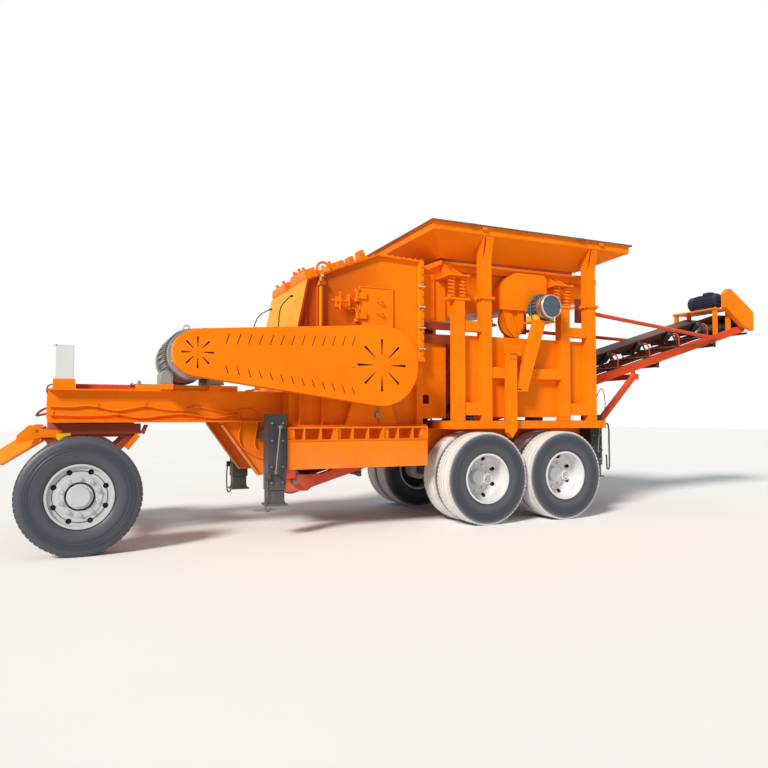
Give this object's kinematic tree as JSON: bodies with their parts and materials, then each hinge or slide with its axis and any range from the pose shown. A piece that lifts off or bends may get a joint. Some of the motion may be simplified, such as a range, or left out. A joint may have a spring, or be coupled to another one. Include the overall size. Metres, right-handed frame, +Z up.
{
  "type": "portable rock crusher",
  "caption": "Towed impact crusher on a steered dolly and tandem axles, with a spring-mounted feeder, hopper, slotted belt guard and inclined discharge conveyor.",
  "frame": {"origin": "on the ground under the middle of the machine's outline", "axes": "+X towards the discharge end of the conveyor, -Y the side with the belt guard, +Z up"},
  "size_m": [11.0917, 2.5, 3.7098],
  "materials": {
    "orange_paint": "glossy safety-orange enamel, dusty, with edge wear",
    "dark_red_paint": "old dark red primer and paint",
    "charcoal_paint": "charcoal paint, scuffed and rusty at the edges",
    "axle_black": "satin black paint under road dust",
    "pale_grey_paint": "pale grey primer",
    "motor_grey": "machine grey enamel",
    "motor_slate": "slate blue-grey enamel",
    "motor_navy": "dark navy enamel",
    "bare_steel": "machined steel",
    "idler_steel": "dark painted rollers and brackets",
    "belt_rubber": "dusty black rubber",
    "silver_rim": "silver wheel paint",
    "white_rim": "white wheel paint with dust",
    "tyre_rubber": "grey-black tyre rubber with pale dust"
  },
  "bodies": {
    "chassis": {"gooseneck_frame": "orange_paint", "main_rails": "orange_paint", "cross_beams": "dark_red_paint", "wheel_sills": "orange_paint", "side_girders": "orange_paint", "front_post": "pale_grey_paint", "motor_base": "orange_paint", "drive_motor": "motor_grey", "belt_guard": "orange_paint", "drive_pulleys": "bare_steel", "crusher_lower_housing": "orange_paint", "crusher_upper_housing": "orange_paint", "crusher_rotor": "bare_steel", "bearing_blocks": "orange_paint", "apron_adjusters": "orange_paint", "feed_chute": "orange_paint", "feeder_frame_near": "orange_paint", "feeder_frame_far": "orange_paint", "feeder_cross_beams": "orange_paint", "feeder_pan": "orange_paint", "feeder_springs": "bare_steel", "feed_hopper": "orange_paint", "exciter_guard": "orange_paint", "feeder_motor": "motor_slate", "motor_stand": "orange_paint", "conveyor_frame": "orange_paint", "conveyor_belt": "belt_rubber", "conveyor_idlers": "idler_steel", "conveyor_drums": "bare_steel", "head_bearings": "bare_steel", "motor_bridge": "orange_paint", "conveyor_motor": "motor_navy", "conveyor_head_guard": "orange_paint", "conveyor_stays": "orange_paint", "rear_axles": "axle_black", "rear_springs": "axle_black", "spring_hangers": "axle_black", "leg_housings": "charcoal_paint", "turntable": "dark_red_paint"},
    "dolly": {"dolly_frame": "dark_red_paint", "dolly_axle": "axle_black", "tow_arm": "orange_paint"},
    "front_wheel_near": {"front_wheel_near_tyre": "tyre_rubber", "front_wheel_near_rim": "silver_rim"},
    "front_wheel_far": {"front_wheel_far_tyre": "tyre_rubber", "front_wheel_far_rim": "silver_rim"},
    "rear_wheel_a_near": {"rear_wheel_a_near_tyres": "tyre_rubber", "rear_wheel_a_near_rims": "white_rim"},
    "rear_wheel_a_far": {"rear_wheel_a_far_tyres": "tyre_rubber", "rear_wheel_a_far_rims": "white_rim"},
    "rear_wheel_b_near": {"rear_wheel_b_near_tyres": "tyre_rubber", "rear_wheel_b_near_rims": "white_rim"},
    "rear_wheel_b_far": {"rear_wheel_b_far_tyres": "tyre_rubber", "rear_wheel_b_far_rims": "white_rim"},
    "leg_front_near": {"leg_front_near": "charcoal_paint"},
    "leg_front_far": {"leg_front_far": "charcoal_paint"},
    "leg_rear_near": {"leg_rear_near": "charcoal_paint"},
    "leg_rear_far": {"leg_rear_far": "charcoal_paint"},
    "inspection_door": {"inspection_door": "orange_paint"}
  },
  "joints": [
    {"name": "dolly_steer", "type": "hinge", "parent": "chassis", "child": "dolly", "pos_m": [-4.546, 0, 1.18], "axis": [0, 0, 1], "range_deg": [-60, 60]},
    {"name": "front_wheel_near_spin", "type": "hinge", "parent": "dolly", "child": "front_wheel_near", "pos_m": [-4.646, -1.095, 0.5625], "axis": [0, 1, 0], "continuous": true},
    {"name": "front_wheel_far_spin", "type": "hinge", "parent": "dolly", "child": "front_wheel_far", "pos_m": [-4.646, 1.095, 0.5625], "axis": [0, 1, 0], "continuous": true},
    {"name": "rear_wheel_a_near_spin", "type": "hinge", "parent": "chassis", "child": "rear_wheel_a_near", "pos_m": [-0.146, -0.92, 0.5625], "axis": [0, 1, 0], "continuous": true},
    {"name": "rear_wheel_a_far_spin", "type": "hinge", "parent": "chassis", "child": "rear_wheel_a_far", "pos_m": [-0.146, 0.92, 0.5625], "axis": [0, 1, 0], "continuous": true},
    {"name": "rear_wheel_b_near_spin", "type": "hinge", "parent": "chassis", "child": "rear_wheel_b_near", "pos_m": [1.024, -0.92, 0.5625], "axis": [0, 1, 0], "continuous": true},
    {"name": "rear_wheel_b_far_spin", "type": "hinge", "parent": "chassis", "child": "rear_wheel_b_far", "pos_m": [1.024, 0.92, 0.5625], "axis": [0, 1, 0], "continuous": true},
    {"name": "leg_front_near_slide", "type": "slide", "parent": "chassis", "child": "leg_front_near", "axis": [0, 0, -1], "range_m": [0, 0.4]},
    {"name": "leg_front_far_slide", "type": "slide", "parent": "chassis", "child": "leg_front_far", "axis": [0, 0, -1], "range_m": [0, 0.4]},
    {"name": "leg_rear_near_slide", "type": "slide", "parent": "chassis", "child": "leg_rear_near", "axis": [0, 0, -1], "range_m": [0, 0.5]},
    {"name": "leg_rear_far_slide", "type": "slide", "parent": "chassis", "child": "leg_rear_far", "axis": [0, 0, -1], "range_m": [0, 0.5]},
    {"name": "inspection_door_swing", "type": "hinge", "parent": "chassis", "child": "inspection_door", "pos_m": [-1.676, -0.78, 2.64], "axis": [0, 0, -1], "range_deg": [0, 110]}
  ]
}
